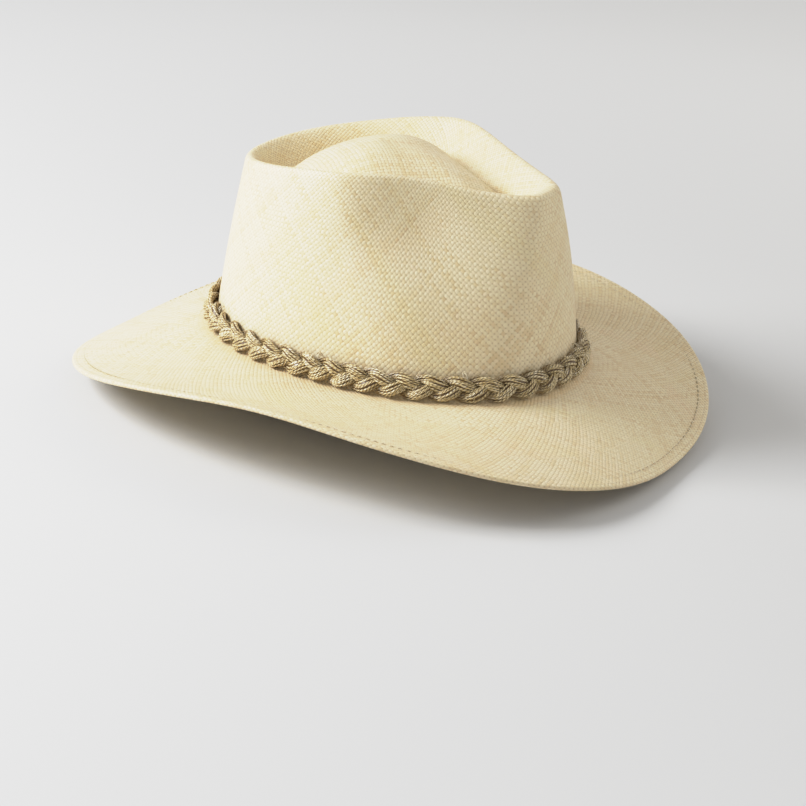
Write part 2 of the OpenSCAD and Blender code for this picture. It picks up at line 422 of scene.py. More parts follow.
def parts_of(tree, socket):
    """The three numbers of a vector socket."""
    split = tree.nodes.new("ShaderNodeSeparateXYZ")
    tree.links.new(socket, split.inputs[0])
    return [Value(tree, part) for part in split.outputs]


def attribute_parts(tree, name):
    """The three numbers of a mesh attribute."""
    node = tree.nodes.new("ShaderNodeAttribute")
    node.attribute_name = name
    return parts_of(tree, node.outputs["Vector"])


def random_of(tree, *parts):
    """A random number from 0 to 1 for each set of whole numbers."""
    node = tree.nodes.new("ShaderNodeTexWhiteNoise")
    node.noise_dimensions = "3D"
    tree.links.new(vector(tree, *parts), node.inputs["Vector"])
    return Value(tree, node.outputs["Value"])


def noise(tree, place, scale, detail=2.0):
    """Smooth noise from 0 to 1. place is a vector socket."""
    node = tree.nodes.new("ShaderNodeTexNoise")
    tree.links.new(place, node.inputs["Vector"])
    node.inputs["Scale"].default_value = scale
    node.inputs["Detail"].default_value = detail
    return Value(tree, node.outputs["Fac"])


def object_place(tree):
    return tree.nodes.new("ShaderNodeTexCoord").outputs["Object"]


def ramp(tree, value, *stops):
    """A colour for each value, from (place, colour) stops."""
    node = tree.nodes.new("ShaderNodeValToRGB")
    tree.links.new(value.socket, node.inputs["Fac"])
    elements = node.color_ramp.elements
    while len(elements) < len(stops):
        elements.new(0.5)
    for element, (place, colour) in zip(elements, stops):
        element.position = place
        element.color = (*colour, 1)
    return node.outputs["Color"]


def mix_colour(tree, share, a, b):
    """Colour a where share is 0 and colour b where it is 1. Each is a socket or three numbers."""
    node = tree.nodes.new("ShaderNodeMix")
    node.data_type = "RGBA"
    for place, value in ((0, share), (6, a), (7, b)):
        feed(tree, node.inputs[place], value)
    return node.outputs[2]


def tinted(tree, colour, *tints):
    """The colour after each (share, tint) pair is mixed in, one after the other."""
    for share, tint in tints:
        colour = mix_colour(tree, share, colour, tint)
    return colour


def bump(tree, height, distance, strength=1.0):
    node = tree.nodes.new("ShaderNodeBump")
    tree.links.new(height.socket, node.inputs["Height"])
    node.inputs["Distance"].default_value = distance
    node.inputs["Strength"].default_value = strength
    return node.outputs["Normal"]


def new_material(name, roughness, specular, sheen=0.0):
    """A material's node tree and its Principled shader."""
    material = bpy.data.materials.new(name)
    material.use_nodes = True
    tree = material.node_tree
    shader = tree.nodes["Principled BSDF"]
    shader.inputs["Roughness"].default_value = roughness
    shader.inputs["Specular IOR Level"].default_value = specular
    shader.inputs["Sheen Weight"].default_value = sheen
    return material, tree, shader


def finish_material(tree, shader, colour, normal=None, roughness=None):
    tree.links.new(colour, shader.inputs["Base Color"])
    if normal is not None:
        tree.links.new(normal, shader.inputs["Normal"])
    if roughness is not None:
        tree.links.new(roughness.socket, shader.inputs["Roughness"])


# The share of a straw that passes at each straw it crosses
STRAW_ENDS = 0.017


def straw_material():
    """Plain weave of flat straws at 45 degrees to the rows, read from the weave attribute."""
    material, tree, shader = new_material("toquilla_straw", 0.5, 0.45, 0.05)
    place = object_place(tree)
    round_hat, down_hat, zone = attribute_parts(tree, "weave")
    drift = (noise(tree, place, 60.0) - 0.5) * 0.6
    wobble = (noise(tree, place, 420.0) - 0.5) * 0.4
    p = round_hat + down_hat + drift + wobble
    q = round_hat - down_hat + drift - wobble
    row, column = p.floor(), q.floor()
    from_row, from_column = p - row - 0.5, q - column - 0.5
    column_on_top = ((row + column) * 0.5).fract() * 2.0
    across = column_on_top.blend(from_row, from_column)
    along = column_on_top.blend(from_column, from_row)
    # each straw has its own tint, and ends after about sixty others have crossed it
    straw_of_row = (q * STRAW_ENDS + random_of(tree, row, zone, 3.0)).floor()
    straw_of_column = (p * STRAW_ENDS + random_of(tree, column, zone, 9.0)).floor()
    row_tint = random_of(tree, row, zone, straw_of_row)
    column_tint = random_of(tree, column, zone + 40.0, straw_of_column)
    tint = column_on_top.blend(row_tint, column_tint)
    cell_tint = random_of(tree, row, column, zone)
    straw = ramp(
        tree,
        tint * 0.72 + cell_tint * 0.28,
        (0.0, (0.68, 0.51, 0.29)),
        (0.20, (0.78, 0.63, 0.375)),
        (0.45, (0.83, 0.70, 0.45)),
        (0.75, (0.86, 0.75, 0.51)),
        (1.0, (0.86, 0.71, 0.48)),
    )
    width = (across * 2.0).absolute()
    length = (along * 2.0).absolute()
    height = ((width * width * -0.75 + 1.0) * (length * length * -0.45 + 1.0)).between(0.0, 1.0)
    fibre = noise(tree, vector(tree, across * 8.0, along * 1.1, tint * 40.0), 1.0)
    stain = noise(tree, place, 22.0, 3.0)
    streak_rows = noise(tree, vector(tree, p * 0.09, q * 0.012, zone), 1.0, 1.0)
    streak_columns = noise(tree, vector(tree, p * 0.012, q * 0.09, zone + 5.0), 1.0, 1.0)
    from_side, from_end = width * -1.0 + 1.0, length * -1.0 + 1.0
    hole = from_side * from_side + from_end * from_end
    _, from_break, shade = attribute_parts(tree, "fold")
    stitch, from_row, from_edge = attribute_parts(tree, "hem")
    beside_hole = ((stitch * 2.0).fract() - 0.5) * 2.2
    edge_row = from_edge - EDGE_ROW
    stitch_hole = beside_hole * beside_hole + (from_row * from_row).math("MINIMUM", edge_row * edge_row)
    # fibres, stains, streaks both ways, painted shade on the straws that lie on top as columns, holes between
    # straws, painted shade at each straw's sides, a painted warm shadow at the band's foot, painted shade in
    # the hollows and the holes of the hem's stitches
    colour = tinted(
        tree,
        straw,
        ((fibre - 0.5) * 0.5 + 0.10, (0.62, 0.47, 0.27)),
        (stain.between(0.5, 0.78) * 0.20, (0.82, 0.60, 0.36)),
        (streak_rows.between(0.55, 0.75) * 0.28, (0.86, 0.64, 0.42)),
        (streak_columns.between(0.55, 0.75) * 0.28, (0.78, 0.66, 0.34)),
        # painted shade: the straws that lie on top as columns are darker, as side light would shade them
        (column_on_top * 0.13, (0.50, 0.38, 0.20)),
        (hole.between(0.34, 0.0) * 0.42, (0.36, 0.24, 0.10)),
        # painted shade at the sides of each straw, where it dips under its neighbours
        (width.between(0.70, 1.0) * 0.10, (0.46, 0.34, 0.17)),
        # painted shadow: a warm, darker ring on the brim just below the plait
        (from_break.between(11.0, 7.5) * 0.3, (0.86, 0.58, 0.27)),
        # painted shade in the channel's crease, at the back of the inner wall and in the dents
        (shade.between(0.02, 0.75) * 0.65, (0.46, 0.30, 0.11)),
        (stitch_hole.between(0.24, 0.04) * 0.42, (0.30, 0.20, 0.09)),
    )
    finish_material(tree, shader, colour, bump(tree, height + fibre * 0.08, 0.00022), fibre * 0.18 + 0.40)
    return material


def thread_material():
    """Cream sewing thread, two plies."""
    material, tree, shader = new_material("cream_thread", 0.55, 0.4, 0.2)
    along, round_thread, tint = attribute_parts(tree, "thread")
    ply = ((along * 2.2 + round_thread) * math.tau).sine()
    colour = ramp(tree, ply * 0.5 + 0.5, (0.0, (0.66, 0.55, 0.36)), (1.0, (0.88, 0.80, 0.60)))
    colour = mix_colour(tree, tint * 0.35, colour, (0.76, 0.64, 0.41))
    finish_material(tree, shader, colour, bump(tree, ply, 0.00012))
    return material


def yarn_material():
    """Khaki raffia yarn: glossy fibres along each twisted ply, with painted highlights on them and painted
    shade where the plies meet.
    """
    material, tree, shader = new_material("raffia_yarn", 0.36, 0.55)
    along, ply, tint = attribute_parts(tree, "yarn")
    fibre = noise(tree, vector(tree, along * 1.5, ply * 4.0, tint * 60.0), 1.0, 3.0)
    patch = noise(tree, vector(tree, along * 0.16, tint * 35.0, 0.0), 1.0, 1.0)
    fleck = random_of(tree, (ply + 0.5).floor(), tint * 97.0)
    base = ramp(
        tree,
        patch * 0.40 + tint * 0.25 + fleck * 0.35,
        (0.20, (0.42, 0.29, 0.10)),
        (0.42, (0.64, 0.49, 0.225)),
        (0.60, (0.81, 0.67, 0.38)),
        (0.82, (0.94, 0.87, 0.68)),
    )
    crest = (ply * math.tau).cosine() * 0.5 + 0.5
    depth, _, _ = attribute_parts(tree, "yarn_depth")
    # painted shade where the plies meet, painted highlights on the fibres, darker fibres, and painted shade
    # where the strand dives, at its sides and back
    colour = tinted(
        tree,
        mix_colour(tree, crest.between(0.0, 0.5), (0.105, 0.058, 0.019), base),
        (fibre.between(0.54, 0.74) * 0.72, (0.95, 0.90, 0.77)),
        (fibre.between(0.45, 0.22) * 0.55, (0.19, 0.11, 0.032)),
        (depth.between(0.0, 1.0) * 0.66, (0.13, 0.070, 0.022)),
    )
    normal = bump(tree, crest * 0.6 + fibre * 0.5, 0.00022, 0.8)
    finish_material(tree, shader, colour, normal, fibre * 0.30 + 0.18)
    return material


def leather_material():
    """Tan sweatband leather: pebbled grain, darker pores and a polished, unevenly tanned face."""
    material, tree, shader = new_material("tan_leather", 0.5, 0.4)
    place = object_place(tree)
    cells = tree.nodes.new("ShaderNodeTexVoronoi")
    cells.feature = "DISTANCE_TO_EDGE"
    tree.links.new(place, cells.inputs["Vector"])
    cells.inputs["Scale"].default_value = 900.0
    pebble = Value(tree, cells.outputs["Distance"]).between(0.0, 0.28)
    tan = noise(tree, place, 28.0, 4.0)
    colour = ramp(
        tree,
        tan,
        (0.30, (0.30, 0.145, 0.062)),
        (0.55, (0.40, 0.205, 0.092)),
        (0.75, (0.48, 0.265, 0.130)),
    )
    colour = mix_colour(tree, pebble * -0.45 + 0.45, colour, (0.16, 0.07, 0.03))
    normal = bump(tree, pebble + noise(tree, place, 260.0, 3.0) * 0.4, 0.00016, 0.8)
    finish_material(tree, shader, colour, normal, tan * 0.22 + pebble * 0.12 + 0.28)
    return material


def ribbon_material():
    """Dark brown ribbed ribbon. The ribs run across it."""
    material, tree, shader = new_material("ribbed_ribbon", 0.55, 0.4, 0.4)
    along, across, tint = attribute_parts(tree, "ribbon")
    rib = (along * math.tau).cosine() * 0.5 + 0.5
    weave = noise(tree, vector(tree, along * 0.3, across * 30.0, tint), 1.0, 2.0)
    colour = ramp(tree, rib * 0.7 + weave * 0.3, (0.1, (0.012, 0.008, 0.006)), (0.9, (0.085, 0.052, 0.035)))
    finish_material(tree, shader, colour, bump(tree, rib + weave * 0.3, 0.00015), weave * 0.2 + 0.42)
    return material


def piping_material():
    """Beige cloth piping with a fine diagonal cord."""
    material, tree, shader = new_material("piping_cloth", 0.75, 0.3, 0.3)
    along, round_reed, _ = attribute_parts(tree, "thread")
    twill = ((along * 1.1 + round_reed * 3.0) * math.tau).sine() * 0.5 + 0.5
    colour = ramp(tree, twill, (0.0, (0.36, 0.28, 0.17)), (1.0, (0.62, 0.52, 0.36)))
    colour = mix_colour(tree, noise(tree, object_place(tree), 90.0) * 0.3, colour, (0.34, 0.25, 0.15))
    finish_material(tree, shader, colour, bump(tree, twill, 0.0001))
    return material


def tab_material():
    """Off-white woven tape."""
    material, tree, shader = new_material("woven_tab", 0.8, 0.3, 0.3)
    along, across, _ = attribute_parts(tree, "ribbon")
    weave = (along * math.tau).sine() * (across * math.tau).sine() * 0.5 + 0.5
    colour = ramp(tree, weave, (0.0, (0.66, 0.63, 0.56)), (1.0, (0.86, 0.84, 0.78)))
    finish_material(tree, shader, colour, bump(tree, weave, 0.0001))
    return material


# ---- the straw body ----

BODY_SIDES = 540
STRAW_PITCH = 2.0
ROW_WIDTH = STRAW_PITCH * math.sqrt(2)
# The weave starts as a square grid in the zone at the crown's centre, and runs in rings from there on
CENTRE_ZONE = 0
CROWN_ZONE = 1
# Rows are added at these shares of the brim's width, where new straws come in
BRIM_RINGS = (0.35, 0.7)
HEM_STITCHES = 240
# A second row of stitch holes runs this far from the edge
EDGE_ROW = 1.6
# Rings of the outer profile that lie in the channel, at the rim and where the crown meets the brim
CREASE_RING = 29
WALL_RING = 47
BREAK_RING = 98
# The share of the way from the rim to the dome's centre where the channel's floor lies
CHANNEL_U = 0.3
CREASE_DEPTH = 2.0
CREASE_HALF_ANGLE = 42
CREASE_HALF_WIDTH = 1.3
# In front the crease lies this many rings nearer the rim
CREASE_SHIFT = 3.5
# Middle and half width of the inner wall's painted shade, in rings and in degrees from the front
INNER_WALL_RINGS = (CREASE_RING + 5, 7)
INNER_WALL_ANGLES = (165, 55)
# Shares of painted shade in the crease, at the back of the inner wall and in the dents
CREASE_SHADE = 0.75
INNER_WALL_SHADE = 0.30
DENT_SHADE = 0.17
SWELL = 0.35
FINE_SWELL = 0.12
STITCH_GROOVE = 0.05
STITCH_GROOVE_HALF_WIDTH = 1.2
# The brim's outermost rings, as shares of its width
EDGE_START = 0.89
EDGE_RINGS = 12
HEM_RINGS = 9
# Stands for a distance too long to matter
FAR = 99.0


def outer_profile(phi):
    """The outer surface from the dome's centre to the brim's edge: points, and a zone for each step."""
    points, zones = [], []

    def run(first, last, count, make, zone):
        for value in np.linspace(first, last, count):
            points.append(make(value))
            zones.append(zone(value) if callable(zone) else zone)

    def brim_zone(s):
        return CROWN_ZONE + 1 + sum(s > ring for ring in BRIM_RINGS)

    break_corner = polar(phi, opening_r(phi), 0.0)
    rim_corner = wall_point(phi, 1.0)
    top_end, wall_start = top_point(phi, 0.05), wall_point(phi, 0.95)
    wall_end, brim_start = wall_point(phi, 0.045), brim_point(phi, 0.06)
    run(0.985, CHANNEL_U, 30, lambda u: top_point(phi, u), CENTRE_ZONE)
    run(CHANNEL_U - 0.02, 0.07, 13, lambda u: top_point(phi, u), CROWN_ZONE)
    run(0, 0.875, 8, lambda q: bend(top_end, rim_corner, wall_start, q), CROWN_ZONE)
    run(0.95, 0.065, 44, lambda t: wall_point(phi, t), CROWN_ZONE)
    run(0, 0.857, 7, lambda q: bend(wall_end, break_corner, brim_start, q), CROWN_ZONE)
    run(0.06, 0.88, 27, lambda s: brim_point(phi, s), brim_zone)
    run(EDGE_START, 1.0, EDGE_RINGS, lambda s: brim_point(phi, s), brim_zone)
    return np.array(points), np.array(zones)


def folded_edge(outer, normals, down):
    """The rings where the brim's edge rolls over, and where the fold ends underneath in a small step."""
    roll = [
        outer[-1] - normals[-1] * HEM_T / 2 * (1 - cos(a)) + down[-1] * HEM_T / 2 * sin(a) * 0.9
        for a in np.linspace(22.5, 157.5, 7)
    ]
    under = [outer[-1 - k] - normals[-1 - k] * HEM_T for k in range(HEM_RINGS)]
    lip = outer[-HEM_RINGS] - normals[-HEM_RINGS] * (HEM_T - 0.15) - down[-HEM_RINGS] * 0.45
    step = outer[-HEM_RINGS] - normals[-HEM_RINGS] * (STRAW_T - 0.02) - down[-HEM_RINGS] * 0.5
    return np.array([*roll, *under, lip, step])


def straw_body(material):
    phi = TURN * np.arange(BODY_SIDES) / BODY_SIDES
    outer, zones = outer_profile(phi)
    round_way = np.roll(outer, -1, 1) - np.roll(outer, 1, 1)
    down_way = np.gradient(outer, axis=0)
    normals = unit(np.cross(down_way, round_way))
    down = unit(down_way)

    # soft unevenness of a hand-blocked hat, and the groove that the hem's stitches pull
    share = np.linspace(0, 1, len(outer))[:, None]
    swell = SWELL * share * (sin(3 * phi + 40 + 200 * share) + sin(5 * phi + 110 - 260 * share))
    swell = swell + FINE_SWELL * sin(11 * phi + 700 * share) * share
    to_edge = np.linalg.norm(outer - outer[-1], axis=-1)
    from_last = np.argmin(np.abs(np.linspace(1.0, EDGE_START, EDGE_RINGS) - HEM_SHARE))
    hem_width = to_edge[-1 - from_last]
    groove = STITCH_GROOVE * np.exp(-(((to_edge - hem_width) / STITCH_GROOVE_HALF_WIDTH) ** 2))
    # the channel is pressed into a crease in front of the dome, and painted tan shade darkens the crease,
    # the back of the inner wall and the dents
    from_front = np.degrees(np.arccos(cos(phi)))
    in_front = np.exp(-((from_front / CREASE_HALF_ANGLE) ** 4))
    ring = np.arange(len(outer))[:, None]
    crease = np.exp(-(((ring - CREASE_RING - CREASE_SHIFT * in_front) / CREASE_HALF_WIDTH) ** 2)) * in_front
    inner_wall = 1.0
    for place, (middle, half) in ((ring, INNER_WALL_RINGS), (from_front, INNER_WALL_ANGLES)):
        inner_wall = inner_wall * np.exp(-(((place - middle) / half) ** 4))
    height = outer[..., 2] / rim_z(phi)
    in_dent = np.exp(-(np.abs((from_front - DENT_ANGLE) / DENT_HALF_ANGLE) ** 3))
    in_dent = in_dent * np.exp(-(((height - DENT_AT) / DENT_HALF_HEIGHT) ** 2)) * (ring > WALL_RING)
    shade = CREASE_SHADE * crease + INNER_WALL_SHADE * inner_wall + DENT_SHADE * in_dent
    outer = outer + normals * (swell - groove - CREASE_DEPTH * crease)[..., None]

    hem = folded_edge(outer, normals, down)
    inner_rows = [i for i in range(len(outer) - HEM_RINGS - 2, 0, -1) if i % 3 == 0]
    inner = [outer[i] - normals[i] * STRAW_T for i in inner_rows]

    rings = np.concatenate([outer, hem, inner])
    zone_of = np.concatenate([zones, np.full(len(hem), zones[-1]), zones[inner_rows]])
    count = len(rings)
    faces = grid_faces(count, BODY_SIDES)[:, ::-1]
    tip_out, tip_in = rings[0].mean(0), rings[-1].mean(0)
    tip_out[2] = RIM_HEIGHT - CHANNEL_DEPTH + DOME_RISE
    tip_in[2] = tip_out[2] - STRAW_T
    triangles = cap_faces(count, BODY_SIDES)[:, [0, 2, 1]]
    points = np.concatenate([rings.reshape(-1, 3), [tip_out, tip_in]])
    piece = new_piece("straw_body_woven", points, faces, triangles)
    add_corner_values(piece, "weave", weave_values(points, rings, zone_of, triangles))
    far = np.full((count - len(outer), BODY_SIDES), FAR)
    from_edge = np.concatenate([to_edge, far])
    from_row = np.concatenate([to_edge - hem_width, far])
    add_corner_values(piece, "hem", ring_values(from_row, from_edge, len(triangles)))
    steps = np.linalg.norm(np.diff(outer, axis=0), axis=-1)
    travelled = np.concatenate([np.zeros((1, BODY_SIDES)), np.cumsum(steps, axis=0)])
    from_break = np.concatenate([np.abs(travelled - travelled[BREAK_RING]), far])
    shade = np.concatenate([shade, np.zeros_like(far)])
    add_corner_values(piece, "fold", ring_values(from_break, shade, len(triangles)))
    finish_piece(piece, material, "straw_body")


def weave_values(points, rings, zone_of, triangles):
    """Rows round the hat and down it, counted in straws, at each corner of each face."""
    step = np.linalg.norm(np.diff(rings, axis=0), axis=-1).mean(1)
    girth = np.linalg.norm(np.roll(rings, -1, 1) - rings, axis=-1).sum(1)
    values = []
    around = np.arange(BODY_SIDES) / BODY_SIDES
    after = (np.arange(BODY_SIDES) + 1) / BODY_SIDES
    down = 0.0
    for i in range(len(rings) - 1):
        zone = zone_of[i + 1]
        if zone == CENTRE_ZONE:
            here, below = rings[i], rings[i + 1]
            flat = np.stack([below, np.roll(below, -1, 0), np.roll(here, -1, 0), here], 1) / ROW_WIDTH
            flat[..., 2] = 0
            values.append(flat)
            continue
        rows = girth[(zone_of == zone)].mean() // ROW_WIDTH
        cell = (girth[i] + girth[i + 1]) / 2 / rows
        start, down = down, down + step[i] / cell
        if zone_of[i] != zone:
            start, down = np.round(start), np.round(start) + step[i] / cell
        corners = np.zeros((BODY_SIDES, 4, 3))
        corners[..., 0] = np.stack([around, after, after, around], -1) * rows
        corners[:, :2, 1], corners[:, 2:, 1] = down, start
        corners[..., 2] = zone
        values.append(corners)
    tips = points[triangles] / ROW_WIDTH
    tips[..., 2] = 0
    return np.concatenate([np.concatenate(values).reshape(-1, 3), tips.reshape(-1, 3)])


def ring_values(first, second, tip_count):
    """Hem stitches counted round the hat, and two values of each ring's points, at each corner."""
    corners = np.zeros((len(first) - 1, BODY_SIDES, 4, 3))
    share = np.arange(BODY_SIDES) / BODY_SIDES
    for corner, (ring, side) in enumerate(((1, 0), (1, 1), (0, 1), (0, 0))):
        corners[..., corner, 0] = (share + side / BODY_SIDES) * HEM_STITCHES
        for place, values in ((1, first), (2, second)):
            rows = values[ring : len(values) - 1 + ring]
            corners[..., corner, place] = np.roll(rows, -side, 1)
    tips = np.full((tip_count * 3, 3), FAR)
    return np.concatenate([corners.reshape(-1, 3), tips])


# ---- stitching ----

THREAD_R = 0.3
THREAD_SIDES = 6
STITCH_SINK = 0.35
HEM_STITCH_RISE = 0.22


def add_stitch(tubes, start, end, out, rise, tint):
    """One stitch: thread that comes up at start, lies on the surface and goes down at end."""
    q = np.linspace(0, 1, 7)[:, None]
    arch = 1 - (2 * q - 1) ** 4
    path = mix(start, end, q) + out * (arch * rise - STITCH_SINK * (1 - arch))
    rings = round_tube(path, np.broadcast_to(out, path.shape), THREAD_R, THREAD_SIDES)
    length = np.linalg.norm(end - start)
    sides = np.arange(THREAD_SIDES) / THREAD_SIDES
    tubes.add(rings, numbers_for(rings, q * length, sides, tint), round_step=1.0)


def hem_stitches(material):
    """A running row of stitches on both sides of the folded edge."""
    rng = np.random.default_rng(11)
    tubes = Tubes()
    for side in (1, -1):
        for k in range(HEM_STITCHES):
            phi = TURN * (k + (0.5 if side < 0 else 0)) / HEM_STITCHES + rng.uniform(-0.05, 0.05)
            half = TURN / HEM_STITCHES * 0.25
            s = HEM_SHARE + rng.uniform(-0.0015, 0.0015)
            a, b = brim_point(phi - half, s), brim_point(phi + half, s)
            outward = brim_point(phi, s + 0.02) - brim_point(phi, s)
            normal = unit(np.cross(outward, b - a))
            normal = normal * (side if normal[2] > 0 else -side)
            lift = -0.06 if side > 0 else HEM_T + 0.10
            add_stitch(tubes, a + normal * lift, b + normal * lift, normal, HEM_STITCH_RISE, rng.uniform())
    tubes.finish("hem_stitches", "thread", material, "hem_stitching")


# ---- the plaited band ----

YARNS = 15
YARN_R = 0.46
YARN_SIDES = 5
YARN_STEP = 0.58
BUNDLE_ACROSS = 2.45
BUNDLE_DEPTH = 1.2
BUNDLE_TWIST = 110.0
BUNDLE_SWELL = 0.24
BUNDLE_SQUEEZE = 0.20
PLY_TWIST = 3.8
PLY_PINCH = 0.16
# Loose fibres that are tried on each yarn
HAIRS = 17
HAIR_R = 0.075
HAIR_SIDES = 3
CORE_SHARE = 0.93
CORE_SIDES = 10
KEEPER_LOOPS = 10
KEEPER_PITCH = 1.02
KEEPER_YARN_R = 0.55
KEEPER_OUT = 7.95
KEEPER_HALF_HEIGHT = 6.75


def plait_wave(a):
    """A swing from edge to edge with straight runs and quick turns."""
    return (sin(a) - sin(3 * a) / 11) / (1 + 1 / 11)


def strand_path(phi, phase):
    a = PLAIT_TURNS * phi - phase
    up, over = PLAIT_SWING * plait_wave(a), -PLAIT_WEAVE * sin(2 * a)
    c, s = cos(PLAIT_TILT), sin(PLAIT_TILT)
    return wall_at(phi, PLAIT_Z + up * c + over * s, PLAIT_STANDOFF - up * s + over * c)


def even_path(make, start, end, spacing):
    """Points of a path at equal distances along it, the parameter at each and the distances."""
    coarse = np.linspace(start, end, 6000)
    length = lengths_along(make(coarse))
    along = np.linspace(0, length[-1], int(length[-1] / spacing) + 1)
    value = np.interp(along, length, coarse)
    return make(value), value, along


def yarn_rings(path, out, along, turn_offset, radius):
    """Rings of one two-ply yarn: the section is pinched where the plies meet, and turns along it."""
    turn, ring = circles_along(path, out, YARN_SIDES)
    twist = TURN * along[:, None] / PLY_TWIST + turn_offset
    pinch = 1 + PLY_PINCH * cos(2 * (turn[None, :] - twist))
    rings = path[:, None] + ring * (radius * pinch)[..., None]
    return rings, numbers_for(rings, along[:, None], 2 * (turn[None, :] - twist) / TURN, 0.0)


def plait_strand(name, phase, material, node, seed):
    rng = np.random.default_rng(seed)
    start = KEEPER_ANGLE + END_GAP_ANGLE
    end = KEEPER_ANGLE + TURN - END_GAP_ANGLE
    centre, phi, along = even_path(lambda p: strand_path(p, phase), start, end, YARN_STEP)
    out = polar(phi, cos(PLAIT_TILT), sin(PLAIT_TILT))
    across, face = frames_along(centre, out)
    # each strand swells where it lies on top and is squeezed where it goes under
    over = -sin(2 * (PLAIT_TURNS * phi - phase))
    half_width = BUNDLE_ACROSS * (1 + BUNDLE_SWELL * over)
    half_depth = BUNDLE_DEPTH * (1 + BUNDLE_SQUEEZE * over)
    turn = np.linspace(0, TURN, 721)
    girth = lengths_along(np.stack([BUNDLE_ACROSS * cos(turn), BUNDLE_DEPTH * sin(turn)], -1))
    tubes = Tubes()

    def bundle_point(share, slack):
        place = np.interp(np.mod(share, 1) * girth[-1], girth, turn)
        sideways = (half_width * slack * cos(place))[:, None]
        point = centre + across * sideways + face * (half_depth * slack * sin(place))[:, None]
        # painted shade on the yarn, how dark it is drawn: where the strand dives, at its sides and at its
        # back
        hidden = np.clip(0.35 - over, 0, 1) + 0.35 * cos(place) ** 6 + np.clip(-sin(place), 0, 1)
        return point, hidden

    # a core in the darkest colour of the plies' grooves: painted shade that shows between the yarns
    core = [bundle_point(j / CORE_SIDES, CORE_SHARE)[0] for j in range(CORE_SIDES)]
    core = np.stack(core, 1)[::2]
    tubes.add(core, numbers_for(core, 0, 0.5, 0, 0))
    for k in range(YARNS):
        wander = sum(
            rng.uniform(0.012, 0.03) * sin(along * TURN / rng.uniform(14, 60) + rng.uniform(0, TURN))
            for _ in range(3)
        )
        slack = 1 + 0.06 * sin(along * TURN / rng.uniform(18, 30) + rng.uniform(0, TURN))
        path, hidden = bundle_point(k / YARNS + along / BUNDLE_TWIST + wander, slack)
        radius = YARN_R * (1 + 0.08 * sin(along * TURN / 9.3 + rng.uniform(0, TURN)))[:, None]
        rings, values = yarn_rings(path, out, along, rng.uniform(0, TURN), radius)
        values[..., 2] = rng.uniform()
        values = np.concatenate([values, np.repeat(hidden[:, None, None], YARN_SIDES, 1)], -1)
        tubes.add(rings, values, round_step=2.0)
        add_hairs(tubes, rng, path, hidden, across, face)
    tubes.finish(name, "yarn", material, node)


def add_hairs(tubes, rng, path, hidden, across, face):
    """Loose fibres that spring from a yarn where it lies in the open."""
    q = np.linspace(0, 1, 5)[:, None]
    for _ in range(HAIRS):
        i = int(rng.integers(8, len(path) - 8))
        side = rng.uniform(-1, 1)
        lift = rng.uniform(0.2, 1.0)
        length = rng.uniform(1.4, 3.4)
        lean = rng.uniform(-1, 1)
        tint = rng.uniform()
        if hidden[i] > 0.8:
            continue
        forward = unit(path[i + 1] - path[i]) * (1.2 if lean > 0 else -1.2)
        away = unit(across[i] * side + face[i] * lift)
        hair = path[i] + (unit(forward + away * (0.5 + abs(lean))) * q + away * 0.35 * q * q) * length
        rings = round_tube(hair, np.broadcast_to(face[i], hair.shape), HAIR_R, HAIR_SIDES)
        tubes.add(rings, numbers_for(rings, q * length, 0, tint, 0))


def plait_keeper(material):
    """Loops of yarn sewn side by side over the plait's two ends."""
    rng = np.random.default_rng(31)
    tubes = Tubes()
    t = np.linspace(90, -83, 60)
    for k in range(KEEPER_LOOPS):
        wobble = rng.uniform(-0.12, 0.12, 3)
        x = 0.3 + (KEEPER_OUT + wobble[0]) * cos(t) ** (2 / 3)
        z = -0.4 + (KEEPER_HALF_HEIGHT + wobble[1]) * np.sign(sin(t)) * np.abs(sin(t)) ** (2 / 3)
        y = (k - (KEEPER_LOOPS - 1) / 2) * KEEPER_PITCH + wobble[2] + 0.35 * sin(t)
        start = np.array([[-0.9, y[0], z[0]]])
        local = np.concatenate([start, np.stack([x, y, z], -1)])
        path = placed(local, KEEPER_ANGLE, PLAIT_Z)
        away = local * [1, 0, 1] - [3.0, 0, -0.4]
        out = placed(local + away, KEEPER_ANGLE, PLAIT_Z) - path
        radius = np.full((len(path), 1), KEEPER_YARN_R)
        rings, values = yarn_rings(path, out, lengths_along(path) + 40 * k, rng.uniform(0, TURN), radius)
        values[..., 2] = rng.uniform()
        tubes.add(rings, values, round_step=2.0)
    tubes.finish("plait_keeper", "yarn", material, "braid_keeper")


def plait_tacks(material):
    """Pairs of short stitches that hold the plait's upper edge to the crown."""
    rng = np.random.default_rng(41)
    tubes = Tubes()
    for k in range(PLAIT_TURNS // 2):
        phi = (150 + 720 * k) / PLAIT_TURNS
        for side in (-0.35, 0.4):
            start = wall_at(phi + side, PLAIT_Z + 6.9 + rng.uniform(-0.3, 0.3), -0.2)
            end = wall_at(phi + side * 1.8, PLAIT_Z + 3.6, 2.4)
            add_stitch(tubes, start, end, polar(phi, 0.8, 0.6), 1.3, rng.uniform())
    tubes.finish("plait_tacks", "thread", material, "band_tacks")


# ---- inside the hat ----

SWEATBAND_OUT = -(STRAW_T + SWEATBAND_GAP)
SWEATBAND_IN = SWEATBAND_OUT - SWEATBAND_T
SEAM_ANGLE = 180.0
TAB_ANGLE = 158.0
LEATHER_ROW = 4.4
LEATHER_LINE = 29.2
LEATHER_THIN = 30.5
REED_STEPS = 420
REED_SIDES = 12
SWEATBAND_STITCHES = 190


